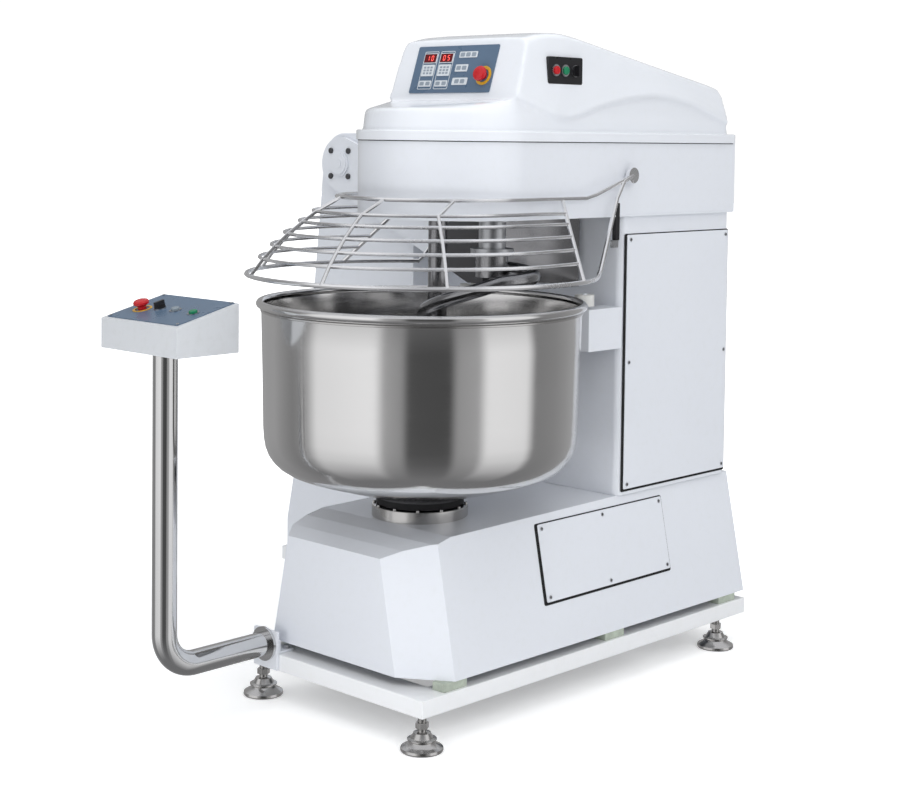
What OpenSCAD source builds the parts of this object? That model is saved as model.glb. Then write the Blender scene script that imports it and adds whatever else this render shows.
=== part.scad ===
// Self-tipping spiral dough mixer.
// Millimetres. +X is the operator's right, -Y is the front, +Z is up.
// The origin is on the floor under the front right levelling foot.
// Inside the modules, positions are measured from under the middle of the mixer's frame,
// and to_foot moves each finished node from there to the origin.

/* [Base] */

// width of the base frame, left to right
base_w = 610; // [600:5:630]
// length of the base frame, front to back
base_l = 1340; // [1330:5:1360]
// depth of the base frame's steel section
base_t = 44; // [36:1:44]
// radius of a levelling foot where it meets the floor
foot_r = 52; // [44:1:58]

/* [Body] */

// thickness of the body's painted sheet steel
skin = 4; // [3:0.5:5]
// how far the plinth's sides lean in, per millimetre of height
side_lean = 0.2; // [0.16:0.01:0.22]
// thickness of the moulded top cover
cover_t = 4; // [3:0.5:5]

/* [Bowl and tools] */

// radius of the bowl's wall at the rim
bowl_r = 414; // [408:1:414]
// thickness of the bowl's sheet
bowl_t = 4; // [3:0.5:5]
// radius of the circle the dough spiral sweeps
sweep_r = 192; // [170:2:194]
// radius of the spiral's round bar
bar_r = 18; // [14:1:18]
// radius of the breaker bar
breaker_r = 26; // [20:1:26]

/* [Guard] */

// radius of the guard's wire
wire_r = 4.5; // [3.5:0.5:5]

/* [Remote control] */

// radius of the stand's tube
pipe_r = 31; // [28:1:32]
// height of the middle of the remote box's floor
box_z = 923; // [880:1:960]

/* [Hidden] */

$fa = 6;
$fs = 2;

// colours
white = [0.88, 0.90, 0.93];
steel = [0.72, 0.73, 0.75];
dark = [0.12, 0.12, 0.13];
blue = [0.25, 0.42, 0.62];
red = [0.80, 0.10, 0.12];

// where the front right foot stands, and the move that puts the origin under it
foot_x = 291;
foot_y = -656;
to_foot = [-foot_x, -foot_y, 0];

// heights
base_z = 79;
base_top = base_z + base_t;
body_z = 144;
column_z = 486.2;
head_z = 1250;
cover_z = 1448;

// bowl and spiral axes
bowl_y = -377;
spiral_x = 126;
spiral_y = -250;
// the breaker bar stands just outside the spiral's sweep
breaker_x = -113;
breaker_y = -205;

// tilt axis
tilt_x = -850;
tilt_z = 1370;
tilt_y0 = 130;
tilt_y1 = 520;
chain_r = 70;

// guard pivot
guard_y = 150;
guard_z = 1360;

// control face on the cover
face_y = -280;
face_z = 1560;
face_tilt = atan(49 / 148);

module at_feet() {
    for (p = [[foot_x, foot_y], [-foot_x, foot_y], [foot_x, 545], [-foot_x, 545], [-1075, 150],
            [-1075, 560]])
        translate([p[0], p[1], 0])
            children();
}

// a tube or bar of round section swept along a path of points
function unit(v) = v / norm(v);
function tangent(p, i) = unit(p[min(i + 1, len(p) - 1)] - p[max(i - 1, 0)]);
function side_of(t) = abs(t[2]) > 0.95 ? unit(cross(t, [0, 1, 0])) : unit(cross(t, [0, 0, 1]));
function swept_points(p, r, n) = [
    for (i = [0 : len(p) - 1])
        let (t = tangent(p, i), s = side_of(t), u = cross(t, s))
            for (k = [0 : n - 1])
                p[i] + r * (cos(360 * k / n) * s + sin(360 * k / n) * u)
];
function swept_sides(m, n) = [
    for (i = [0 : m - 2], k = [0 : n - 1])
        let (a = i * n + k, b = i * n + (k + 1) % n)
            [a, a + n, b + n, b]
];

module sweep(p, r, n = 10) {
    m = len(p);
    polyhedron(
        points = swept_points(p, r, n),
        faces = concat(swept_sides(m, n), [[for (k = [0 : n - 1]) k]],
            [[for (k = [n - 1 : -1 : 0]) (m - 1) * n + k]]),
        convexity = 6);
}

// a flat plate with rounded corners, centred, lying in XY
module plate(w, h, t, r) {
    linear_extrude(t)
        offset(r)
            square([w - 2 * r, h - 2 * r], center = true);
}

// ---- base ----

module base_frame() {
    translate(to_foot)
    color(white)
    translate([0, 0, base_z])
    linear_extrude(base_t)
    difference() {
        union() {
            square([base_w, base_l], center = true);
            translate([-1110, 110])
                square([1110 - base_w / 2 + 1, 480]);
        }
        translate([0, -150])
            square([base_w - 140, base_l - 480], center = true);
        translate([0, 490])
            square([base_w - 140, 230], center = true);
        translate([-1040, 180])
            square([650, 340]);
    }
}

module foot_bells() {
    translate(to_foot)
    color(steel)
    at_feet() {
        rotate_extrude()
            polygon([[0, 0], [foot_r - 2, 0], [foot_r, 3], [foot_r - 1, 9], [foot_r - 16, 17],
                [28, 30], [21, 44], [10, 46], [10, base_z], [0, base_z]]);
    }
}

module foot_nuts() {
    translate(to_foot)
    color(steel)
    at_feet() {
        translate([0, 0, 54])
        difference() {
            cylinder(r = 17, h = 14, $fn = 6);
            translate([0, 0, -1])
                cylinder(r = 10.05, h = 16);
        }
    }
}

module rest_pads() {
    translate(to_foot)
    color([0.62, 0.66, 0.60])
    for (x = [-277, 277], y = [-548, 70, 590])
        translate([x - 20, y - 40, base_top])
            cube([40, 80, body_z - base_top - 0.2]);
}

// ---- tilt tower ----

module tower_outline(inset) {
    offset(delta = -inset)
    union() {
        translate([tilt_x, tilt_z])
            circle(r = 95);
        polygon([[-945, 1370], [-984, 996], [-1080, 350], [-1108, 215], [-1108, 124],
            [-540, 124], [-540, 1370], [-600, 1440], [-700, 1465], [-850, 1465]]);
    }
}

module tower_shell() {
    translate(to_foot)
    color(white)
    difference() {
        translate([0, tilt_y1, 0])
            rotate([90, 0, 0])
                linear_extrude(tilt_y1 - tilt_y0)
                    tower_outline(0);
        translate([0, tilt_y1 - 12, 0])
            rotate([90, 0, 0])
                linear_extrude(tilt_y1 - tilt_y0 - 24)
                    tower_outline(5);
        translate([tilt_x, tilt_y0 - 5, tilt_z])
            rotate([-90, 0, 0])
                cylinder(r = 45, h = tilt_y1 - tilt_y0 + 10);
        translate([-800, tilt_y1 - 20, 400])
            cube([220, 30, 600]);
    }
}

module tower_door() {
    translate(to_foot)
    color(white)
    translate([-690, tilt_y1 + 3.1, 700])
        rotate([90, 0, 0])
            plate(250, 630, 3, 8);
}

module tilt_bushes() {
    translate(to_foot)
    color([0.70, 0.56, 0.32])
    for (y = [tilt_y0, tilt_y1 - 12])
        translate([tilt_x, y, tilt_z])
            rotate([-90, 0, 0])
                difference() {
                    cylinder(r = 45, h = 12);
                    translate([0, 0, -1])
                        cylinder(r = 30.05, h = 14);
                }
}

module ram_barrel() {
    translate(to_foot)
    color(dark)
    translate([tilt_x - chain_r, 325, base_top + 18])
        difference() {
            union() {
                cylinder(r = 42, h = 640);
                translate([-50, -50, -11])
                    cube([100, 100, 12]);
            }
            translate([0, 0, 20])
                cylinder(r = 32, h = 600);
            translate([0, 0, 600])
                cylinder(r = 20.05, h = 50);
        }
}

module power_pack() {
    translate(to_foot)
    color([0.30, 0.32, 0.35])
    union() {
        translate([-820, 200, base_top + 6.2])
            cube([220, 260, 190]);
        translate([-710, 330, base_top + 190])
            cylinder(r = 70, h = 210);
        translate([-800, 300, base_top + 190])
            cube([50, 60, 60]);
    }
}

module ram_rod() {
    translate(to_foot)
    color(steel)
    translate([tilt_x - chain_r, 325, 0])
        union() {
            translate([0, 0, 470])
                cylinder(r = 20, h = 560);
            translate([0, 0, 440])
                cylinder(r = 31.9, h = 40);
            translate([-18, -18, 1020])
                cube([36, 36, 40]);
        }
}

module lift_chain() {
    translate(to_foot)
    color(dark)
    translate([tilt_x - chain_r, 325, 0]) {
        for (i = [0 : 18])
            translate([-6, -9, 1060.2 + i * 16])
                cube([12, 18, 11]);
        translate([-2.5, -7, 1060.2])
            cube([5, 14, 299]);
    }
}

// ---- remote control ----

module pipe_bracket() {
    translate(to_foot)
    color(white)
    union() {
        translate([-300, -670 + 0.2, base_top])
            cube([84, 52, 6]);
        translate([-304, -679, base_z + 3])
            cube([92, 8.8, 100]);
        translate([-300, -672, base_top])
            cube([84, 10, 36]);
    }
}

module bracket_bolts() {
    translate(to_foot)
    color(steel)
    for (x = [-286, -230], y = [-632])
        translate([x, y, base_top + 6])
            union() {
                cylinder(r = 10, h = 2);
                cylinder(r = 8, h = 8, $fn = 6);
            }
}

pipe_x = -259;
pipe_z = 145;
pole_y = -1000;
bend = 90;

module pipe_path(r) {
    translate([pipe_x, -679.2, pipe_z])
        rotate([90, 0, 0])
            cylinder(r = r, h = -pole_y - 679.2 - bend);
    translate([pipe_x, pole_y + bend, pipe_z + bend])
        rotate([90, 0, 90])
            rotate_extrude(angle = 90, start = 180)
                translate([bend, 0])
                    circle(r = r);
    translate([pipe_x, pole_y, pipe_z + bend])
        cylinder(r = r, h = box_z - 0.2 - pipe_z - bend);
}

module pendant_pipe() {
    translate(to_foot)
    color(steel)
    difference() {
        union() {
            pipe_path(pipe_r);
            translate([pipe_x, -679.2, pipe_z])
                rotate([90, 0, 0])
                    cylinder(r = pipe_r + 13, h = 7);
        }
        pipe_path(pipe_r - 2);
        translate([pipe_x, -670, pipe_z])
            rotate([90, 0, 0])
                cylinder(r = pipe_r - 2, h = 40);
        translate([pipe_x, pole_y, box_z - 40])
            cylinder(r = pipe_r - 2, h = 60);
    }
}

// remote box: low at the front, high at the back
box_x0 = -468;
box_x1 = -160;
box_y0 = -1041;
box_y1 = -852;
box_front = 75;
box_back = 122;
box_slope = atan((box_back - box_front) / (box_y1 - box_y0));

module box_solid(inset) {
    translate([box_x0 + inset, 0, 0])
        rotate([90, 0, 90])
            linear_extrude(box_x1 - box_x0 - 2 * inset)
                offset(delta = -inset)
                    polygon([[box_y0, box_z], [box_y1, box_z], [box_y1, box_z + box_back],
                        [box_y0, box_z + box_front]]);
}

module on_box() {
    translate([0, box_y0, box_z + box_front])
        rotate([box_slope, 0, 0])
            children();
}

// places on the remote box's sloping top: across, then up the slope
stop_at = [-402, 80];
select_at = [-352, 98];
up_at = [-289, 97];
down_at = [-213, 93];

module control_bores(r1, r2, r3) {
    translate([stop_at[0], stop_at[1], -20])
        cylinder(r = r1, h = 40);
    translate([select_at[0], select_at[1], -20])
        cylinder(r = r2, h = 40);
    for (p = [up_at, down_at])
        translate([p[0], p[1], -20])
            cylinder(r = r3, h = 40);
}

module pendant_box() {
    translate(to_foot)
    color([0.80, 0.81, 0.83])
    difference() {
        box_solid(0);
        box_solid(2.5);
        translate([pipe_x, pole_y, box_z - 5])
            cylinder(r = pipe_r - 6, h = 20);
        on_box()
            control_bores(11, 11, 11);
    }
}

module pendant_panel() {
    translate(to_foot)
    color(blue)
    on_box()
    difference() {
        translate([(box_x0 + box_x1) / 2, 101, 0.1])
            plate(box_x1 - box_x0 - 22, 182, 2, 5);
        control_bores(11, 11, 11);
    }
}

// the same pan-head screw holds the tower's door and the remote's panel
module cover_screws() {
    translate(to_foot)
    color(steel) {
        on_box()
            for (x = [box_x0 + 18, box_x1 - 18], y = [17, 185])
                translate([x, y, 2.2])
                    cylinder(r = 4, h = 2);
        for (x = [-800, -580], z = [400, 1000])
            translate([x, tilt_y1 + 3.1, z])
                rotate([-90, 0, 0])
                    cylinder(r = 4, h = 2);
    }
}

module pendant_stop() {
    translate(to_foot)
    color(red)
    on_box()
    translate([stop_at[0], stop_at[1], 0])
        rotate_extrude()
            polygon([[0, -14], [10.9, -14], [10.9, 9], [14, 12], [20, 16], [20, 21], [17, 25],
                [9, 27.5], [0, 28]]);
}

module pendant_selector() {
    translate(to_foot)
    color(dark)
    on_box()
    translate([select_at[0], select_at[1], 0])
        union() {
            translate([0, 0, -14])
                cylinder(r = 10.9, h = 20);
            translate([0, 0, 2.3])
                cylinder(r = 14.5, h = 6);
            translate([-4, -14, 8])
                cube([8, 28, 13]);
        }
}

module push_button(c) {
    color(c)
    rotate_extrude()
        polygon([[0, -14], [10.9, -14], [10.9, 8], [9.5, 10], [0, 10.5]]);
}

module pendant_up() {
    translate(to_foot)
    on_box()
        translate([up_at[0], up_at[1], 0])
            push_button([0.75, 0.78, 0.80]);
}

module pendant_down() {
    translate(to_foot)
    on_box()
        translate([down_at[0], down_at[1], 0])
            push_button([0.15, 0.55, 0.30]);
}

// ---- yoke that carries the mixer on the tilt axis ----

module yoke_arm(y) {
    translate([0, y + 14, 0])
        rotate([90, 0, 0])
            linear_extrude(14)
                difference() {
                    hull() {
                        translate([tilt_x, tilt_z])
                            circle(r = 82);
                        translate([-252, 1012])
                            square([11.8, 228]);
                    }
                    translate([tilt_x, tilt_z])
                        circle(r = 30.05);
                }
}

module tilt_yoke() {
    translate(to_foot)
    color(dark)
    union() {
        yoke_arm(tilt_y0 - 16);
        yoke_arm(tilt_y1 + 8);
        translate([-252, tilt_y0 - 16 + 13, 1012])
            cube([11.8, tilt_y1 - tilt_y0 + 12, 228]);
    }
}

module tilt_shaft() {
    translate(to_foot)
    color(steel)
    translate([tilt_x, tilt_y0 - 17, tilt_z])
        rotate([-90, 0, 0])
            cylinder(r = 30, h = tilt_y1 - tilt_y0 + 42);
}

module tilt_sprocket() {
    translate(to_foot)
    color(dark)
    translate([tilt_x, 317, tilt_z])
        rotate([-90, 0, 0])
            difference() {
                union() {
                    cylinder(r = chain_r - 14, h = 16);
                    for (a = [0 : 22.5 : 359])
                        rotate(a)
                            translate([chain_r - 16, -3, 0])
                                cube([9.8, 6, 16]);
                }
                translate([0, 0, -1])
                    cylinder(r = 30.05, h = 18);
            }
}

module yoke_bolts() {
    translate(to_foot)
    color(dark)
    for (a = [45 : 90 : 359])
        translate([tilt_x + 56 * cos(a), tilt_y0 - 16, tilt_z + 56 * sin(a)])
            rotate([90, 0, 0])
                cylinder(r = 9, h = 7);
}

// ---- plinth, column and head ----

function plinth_half(z) = 300 - side_lean * (z - body_z);

// middle of the plinth's access panel
panel_y = 75;
panel_z = 361;

module plinth_plan(z, inset) {
    w = plinth_half(z) - inset;
    f = -635 + inset;
    b = 670 - inset;
    c = 0.41 * inset;
    polygon([[-w + 22, f], [w - 125 + c, f], [w, f + 83 - c], [w, b], [-w, b], [-w, f + 30]]);
}

module plinth_loft(inset) {
    hull() {
        translate([0, 0, body_z])
            linear_extrude(0.01)
                plinth_plan(body_z, inset);
        translate([0, 0, 500])
            linear_extrude(0.01)
                plinth_plan(500, inset);
    }
}

module deck_cut(drop) {
    translate([-400, 0, -drop])
        rotate([90, 0, 90])
            linear_extrude(800)
                polygon([[-700, 100], [700, 100], [700, 486], [145, 485], [-500, 467],
                    [-560, 460], [-605, 444], [-635, 425], [-700, 380]]);
}

module plinth_shell() {
    translate(to_foot)
    color(white)
    difference() {
        intersection() {
            plinth_loft(0);
            deck_cut(0);
        }
        intersection() {
            plinth_loft(skin);
            deck_cut(skin);
        }
        translate([-230 + 14, 145 + 14, 400])
            cube([460 - 28, 505 - 28, 100]);
        translate([0, bowl_y, 400])
            cylinder(r = 125.2, h = 120);
        translate([200, -170, 276])
            cube([120, 490, 168]);
    }
}

module side_screw_places(xs, ys, zs) {
    for (y = ys, z = zs)
        translate([xs, y, z])
            rotate([0, 90, 0])
                cylinder(r = 5, h = 2);
}

module access_panel() {
    translate(to_foot)
    color(white)
    translate([plinth_half(panel_z) + 0.6, panel_y, panel_z])
        rotate([0, 90 - atan(side_lean), 0])
            rotate([0, 0, 90])
                plate(526, 200, 3, 4);
}

module panel_screws() {
    translate(to_foot)
    color(steel)
    union() {
        side_screw_places(243.2, [180, 625], [515, 850, 1185]);
        translate([plinth_half(panel_z) + 0.6, panel_y, panel_z])
            rotate([0, 90 - atan(side_lean), 0])
                for (y = [-250, 0, 250], x = [-88, 88])
                    translate([x, y, 3.05])
                        cylinder(r = 5, h = 2);
    }
}

module column_plan(inset) {
    offset(22 - inset)
        translate([-240 + 22, 145 + 22])
            square([480 - 44, 505 - 44]);
}

module column_shell() {
    translate(to_foot)
    color(white)
    difference() {
        translate([0, 0, column_z])
            linear_extrude(head_z - column_z)
                difference() {
                    column_plan(0);
                    column_plan(skin);
                }
        translate([200, 190, 530])
            cube([60, 425, 640]);
    }
}

module side_panel() {
    translate(to_foot)
    color(white)
    translate([240.1, 402, 850])
        rotate([90, 0, 90])
            plate(472, 696, 3, 4);
}

module head_plan(grow) {
    union() {
        translate([0, -266])
            circle(r = 250 + grow);
        translate([-250 - grow, -266])
            square([500 + 2 * grow, 921 + grow]);
    }
}

module head_shell() {
    translate(to_foot)
    color(white)
    difference() {
        union() {
            translate([0, 0, head_z])
                linear_extrude(cover_z - head_z - 0.2)
                    difference() {
                        head_plan(0);
                        head_plan(-skin);
                    }
            translate([0, 0, head_z])
                linear_extrude(4)
                    difference() {
                        head_plan(-2);
                        head_plan(-18);
                    }
        }
        translate([-300, guard_y, guard_z])
            rotate([0, 90, 0])
                cylinder(r = 8.05, h = 600);
    }
}

module head_floor() {
    translate(to_foot)
    color(steel)
    translate([0, 0, head_z + 4.1])
        linear_extrude(8)
            difference() {
                head_plan(-5);
                translate([spiral_x, spiral_y])
                    circle(r = 60.1);
                translate([60, 420])
                    circle(r = 24);
            }
}

// moulded top cover
module cover_low(d) {
    hull() {
        translate([0, 0, cover_z])
            linear_extrude(50 - d)
                head_plan(5 - d);
        translate([0, 0, cover_z + 50])
            linear_extrude(10 - d)
                head_plan(-8 - d);
        translate([-215 + d, -330 + d, cover_z + 50])
            cube([430 - 2 * d, 950 - 2 * d, 52 - d]);
    }
}

module cover_high(d) {
    hull() {
        translate([-230 + d, face_y + d, 1520])
            cube([460 - 2 * d, 908 - 2 * d, face_z - 1520 - d]);
        translate([-216 + d, face_y + 49 + d, 1600])
            cube([432 - 2 * d, 40, 108 - d]);
        translate([-222 + d, -150, 1560])
            cube([444 - 2 * d, 60, 130 - d]);
        translate([-190 + d, -205 + d, 1690])
            cube([380 - 2 * d, 90, 28 - d]);
        translate([-200 + d, 480, 1560])
            cube([400 - 2 * d, 135 - d, 62 - d]);
    }
}

module top_cover() {
    translate(to_foot)
    color([0.93, 0.94, 0.95])
    difference() {
        union() {
            cover_low(0);
            cover_high(0);
        }
        cover_low(cover_t);
        cover_high(cover_t);
        translate([0, 0, cover_z - 1])
            linear_extrude(6)
                head_plan(5 - cover_t);
        on_face()
            face_bores();
        translate([switch_x - 9.2, switch_y - 68.2, switch_z - 35.2])
            cube([30, 136.4, 70.4]);
        switch_bores();
    }
}

module on_face() {
    translate([0, face_y, face_z])
        rotate([90 - face_tilt, 0, 0])
            children();
}

face_stop = [102, 58];

module face_bores() {
    translate([face_stop[0], face_stop[1], -30])
        cylinder(r = 11, h = 60);
}

module control_panel() {
    translate(to_foot)
    color(blue)
    on_face()
    difference() {
        translate([-12, 78, 0.3])
            plate(290, 131, 3, 4);
        face_bores();
    }
}

// the two timers' columns on the control face
columns = [-103, -44];

module panel_displays() {
    translate(to_foot)
    color([0.35, 0.03, 0.03])
    on_face()
        for (x = columns)
            translate([x, 109, 3.4])
                plate(44, 24, 2, 2);
}

module panel_keys() {
    translate(to_foot)
    color([0.86, 0.88, 0.90])
    on_face() {
        for (x = columns) {
            translate([x, 75, 3.4])
                plate(44, 32, 1.5, 2);
            translate([x, 38, 3.4])
                plate(44, 17, 1.5, 2);
        }
        for (k = [[32, 117, 64, 17], [18, 80, 44, 20], [22, 43, 54, 20]])
            translate([k[0], k[1], 3.4])
                plate(k[2], k[3], 1.5, 2);
    }
}

module head_stop() {
    translate(to_foot)
    color(red)
    on_face()
    translate([face_stop[0], face_stop[1], 0])
        rotate_extrude()
            polygon([[0, -14], [10.9, -14], [10.9, 10], [14, 13], [20, 17], [20, 22], [17, 26],
                [9, 28.5], [0, 29]]);
}

switch_x = 233;
switch_z = 1632;
switch_y = -97;
switch_ys = [switch_y - 40, switch_y - 3, switch_y + 38];

module switch_bores() {
    for (y = switch_ys)
        translate([switch_x - 40, y, switch_z])
            rotate([0, 90, 0])
                cylinder(r = 11, h = 80);
}

module switch_plate() {
    translate(to_foot)
    color(dark)
    difference() {
        translate([switch_x - 9, switch_y, switch_z])
            rotate([90, 0, 90])
                plate(136, 70, 12, 5);
        switch_bores();
    }
}

module side_button(y, c) {
    color(c)
    translate([switch_x, y, switch_z])
        rotate([0, 90, 0])
            rotate_extrude()
                polygon([[0, -14], [10.9, -14], [10.9, 9], [9.5, 11], [0, 11.5]]);
}

module stop_button() {
    translate(to_foot)
    side_button(switch_ys[0], red);
}

module start_button() {
    translate(to_foot)
    side_button(switch_ys[1], [0.15, 0.60, 0.30]);
}

module head_selector() {
    translate(to_foot)
    color(dark)
    translate([switch_x, switch_ys[2], switch_z])
        rotate([0, 90, 0])
            union() {
                translate([0, 0, -14])
                    cylinder(r = 10.9, h = 20);
                translate([0, 0, 3.3])
                    cylinder(r = 14, h = 5);
                translate([-14, -4, 8])
                    cube([28, 8, 12]);
            }
}

// ---- bowl ----

module bowl_pedestal() {
    translate(to_foot)
    color(white)
    translate([0, bowl_y, 434.2])
        difference() {
            cylinder(r = 125, h = 74);
            translate([0, 0, -1])
                cylinder(r = 66, h = 76);
        }
}

module bearing_plate() {
    translate(to_foot)
    color(steel)
    difference() {
        translate([-232, bowl_y - 170, 422])
            cube([464, 340, 12]);
        translate([0, bowl_y, 400])
            cylinder(r = 66.1, h = 40);
    }
}

module bowl_bearing() {
    translate(to_foot)
    color(steel)
    translate([0, bowl_y, 380])
        difference() {
            union() {
                cylinder(r = 65.9, h = 116);
                cylinder(r = 90, h = 41.9);
            }
            translate([0, 0, -1])
                cylinder(r = 30.05, h = 118);
        }
}

module bowl() {
    r = bowl_r;
    t = bowl_t;
    translate(to_foot)
    color(steel)
    translate([0, bowl_y, 0])
        rotate_extrude($fn = 120)
            union() {
                polygon([[0, 530], [112, 530], [300, 583], [340, 596], [370, 614], [392, 640],
                    [402, 668], [406, 705], [r, 1026], [r - t, 1026], [406 - t, 705],
                    [402 - t, 670], [392 - t, 643], [367, 618], [338, 600], [299, 587.2],
                    [111, 534.2], [0, 534.2]]);
                translate([r + 3, 1028])
                    circle(r = 10, $fn = 24);
            }
}

module bowl_hub() {
    translate(to_foot)
    color(dark)
    translate([0, bowl_y, 0])
        union() {
            translate([0, 0, 511])
                cylinder(r = 112, h = 18.9);
            translate([0, 0, 290])
                cylinder(r = 30, h = 225);
            translate([0, 0, 296])
                rotate_extrude()
                    polygon([[20, 0], [130, 0], [120, 10], [120, 30], [130, 40], [20, 40]]);
        }
}

module bowl_motor() {
    translate(to_foot)
    color([0.35, 0.37, 0.40])
    translate([0, 300, 0])
        union() {
            translate([0, 0, 352])
                cylinder(r = 76, h = 116);
            translate([-95, -95, 344])
                cube([190, 190, 9]);
        }
}

module motor_pulley() {
    translate(to_foot)
    color(steel)
    translate([0, 300, 0])
        union() {
            translate([0, 0, 296])
                rotate_extrude()
                    polygon([[0, 0], [50, 0], [42, 10], [42, 30], [50, 40], [0, 40]]);
            translate([0, 0, 330])
                cylinder(r = 15, h = 13.8);
        }
}

module belt(x0, y0, r0, x1, y1, r1, z, h) {
    translate([0, 0, z])
        linear_extrude(h)
            difference() {
                hull() {
                    translate([x0, y0])
                        circle(r = r0 + 7);
                    translate([x1, y1])
                        circle(r = r1 + 7);
                }
                hull() {
                    translate([x0, y0])
                        circle(r = r0 + 0.3);
                    translate([x1, y1])
                        circle(r = r1 + 0.3);
                }
            }
}

module bowl_belt() {
    translate(to_foot)
    color(dark)
        belt(0, bowl_y, 120, 0, 300, 42, 307.5, 17);
}

// ---- spiral and its drive ----

module spiral_motor() {
    translate(to_foot)
    color([0.35, 0.37, 0.40])
    translate([60, 420, 0])
        union() {
            translate([0, 0, 900])
                cylinder(r = 92, h = 290);
            translate([-110, -110, 1190])
                cube([220, 220, 10]);
        }
}

module spiral_drive() {
    translate(to_foot)
    color(steel)
    translate([60, 420, 0])
        union() {
            translate([0, 0, 1200.2])
                cylinder(r = 18, h = 120);
            translate([0, 0, 1310])
                rotate_extrude()
                    polygon([[0, 0], [50, 0], [42, 10], [42, 40], [50, 50], [0, 50]]);
        }
}

module spiral_belt() {
    translate(to_foot)
    color(dark)
        belt(spiral_x, spiral_y, 95, 60, 420, 42, 1321.5, 27);
}

module spiral_bearing() {
    translate(to_foot)
    color(steel)
    translate([spiral_x, spiral_y, 0])
        difference() {
            union() {
                translate([0, 0, head_z - 8])
                    cylinder(r = 60, h = 60);
                translate([0, 0, head_z + 12.2])
                    cylinder(r = 82, h = 12);
            }
            translate([0, 0, head_z - 20])
                cylinder(r = 35.05, h = 90);
        }
}

function lerp(a, b, t) = a + (b - a) * t;
coil_r = sweep_r - bar_r;
coil_z0 = 1096;
coil_z1 = 684;
coil_turn = 420;

// from the shaft out to the coil, down the coil, then in to the foot
function spiral_arm(n) = [
    for (i = [0 : n - 1])
        let (t = i / n, r = lerp(22, coil_r, sin(90 * t)), a = 95 * (1 - t))
            [r * cos(a), r * sin(a), lerp(1122, coil_z0, t)]
];
function spiral_coil(n) = [
    for (i = [0 : n - 1])
        let (t = i / n, a = -coil_turn * t)
            [coil_r * cos(a), coil_r * sin(a), lerp(coil_z0, coil_z1, t)]
];
function spiral_foot(n) = [
    for (i = [0 : n])
        let (t = i / n, a = -coil_turn - 150 * t, r = lerp(coil_r, 46, t * t * (3 - 2 * t)))
            [r * cos(a), r * sin(a), coil_z1 - 26 * sin(90 * t)]
];

module spiral_tool() {
    translate(to_foot)
    color(steel)
    translate([spiral_x, spiral_y, 0])
        union() {
            rotate(-40)
                sweep(concat(spiral_arm(16), spiral_coil(56), spiral_foot(20)), bar_r, 12);
            translate([0, 0, 1098])
                cylinder(r = 42, h = 60);
        }
}

module spiral_shaft() {
    translate(to_foot)
    color(steel)
    translate([spiral_x, spiral_y, 0])
        rotate_extrude()
            polygon([[0, 1158.1], [56, 1158.1], [56, 1172], [35, 1172], [35, 1310], [105, 1310],
                [95, 1320], [95, 1350], [105, 1360], [35, 1360], [35, 1366], [0, 1366]]);
}

module breaker_bar() {
    translate(to_foot)
    color(steel)
    translate([breaker_x, breaker_y, 0])
        union() {
            translate([0, 0, 600])
                cylinder(r = breaker_r, h = head_z - 600 - 8);
            translate([0, 0, head_z - 9])
                cylinder(r = 44, h = 13);
            translate([0, 0, 591])
                cylinder(r1 = breaker_r - 8, r2 = breaker_r, h = 9.1);
        }
}

// ---- rim rollers ----

roller_x = 211;
roller_y = 25;

module roller_brackets() {
    translate(to_foot)
    color(white)
    for (s = [-1, 1])
        union() {
            difference() {
                translate([s * roller_x - 33, 5, 892])
                    cube([66, 139.8, 112]);
                translate([s * roller_x - 28, 10, 891])
                    cube([56, 136, 108]);
            }
            translate([s * roller_x, roller_y, 1003])
                cylinder(r = 6, h = 42);
        }
}

module guide_roller(x) {
    color([0.85, 0.86, 0.84])
    translate([x, roller_y, 1012])
        difference() {
            cylinder(r = 26, h = 30);
            translate([0, 0, -1])
                cylinder(r = 6.05, h = 32);
        }
}

module guide_roller_right() {
    translate(to_foot)
    guide_roller(roller_x);
}

module guide_roller_left() {
    translate(to_foot)
    guide_roller(-roller_x);
}

// ---- guard ----

guard_rings = [[283, 1266], [318, 1240], [356, 1210], [389, 1179], [419, 1147], [452, 1104]];
top_wire = 268;
top_wire_z = 1302;

// the point on the right-hand end rib at a height
function rib_end(z) =
    let (t = (top_wire_z - z) / (top_wire_z - 1104))
        [lerp(266, 434, t), lerp(-140, -252, t), z];

function ring_path(r, z) = concat(
    [[-rib_end(z)[0], rib_end(z)[1], z]],
    [for (a = [180 : 7.5 : 360]) [r * cos(a), bowl_y + r * sin(a), z]],
    [rib_end(z)]);

function flip(p) = [for (q = p) [-q[0], q[1], q[2]]];

// a rib down the basket at a plan angle
function rib_path(a) = concat(
    [[(top_wire - 2) * cos(a), -315 + (top_wire - 2) * sin(a), top_wire_z]],
    [for (g = guard_rings) [(g[0] + 3) * cos(a), bowl_y + (g[0] + 3) * sin(a), g[1]]]);

// right-hand arms: up from the bottom ring's end, and back along the head's side
lower_arm = [[322, -48, 1116], [300, 10, 1200], [280, 70, 1300], [272, 110, 1345],
    [270, guard_y, guard_z]];
upper_arm = [[top_wire, -200, top_wire_z], [top_wire, -45, top_wire_z], [270, -5, 1311],
    [270, guard_y, guard_z]];

function turned(p) = [for (i = [len(p) - 1 : -1 : 0]) p[i]];

function bottom_path() = concat(
    turned(flip(lower_arm)),
    [for (a = [-224 : 8 : 44.1]) [452 * cos(a), bowl_y + 452 * sin(a), 1104]],
    lower_arm);

function top_path() = concat(
    turned(flip(upper_arm)),
    [for (a = [180 : 10 : 360]) [top_wire * cos(a), -315 + top_wire * sin(a), top_wire_z]],
    upper_arm);

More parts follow.
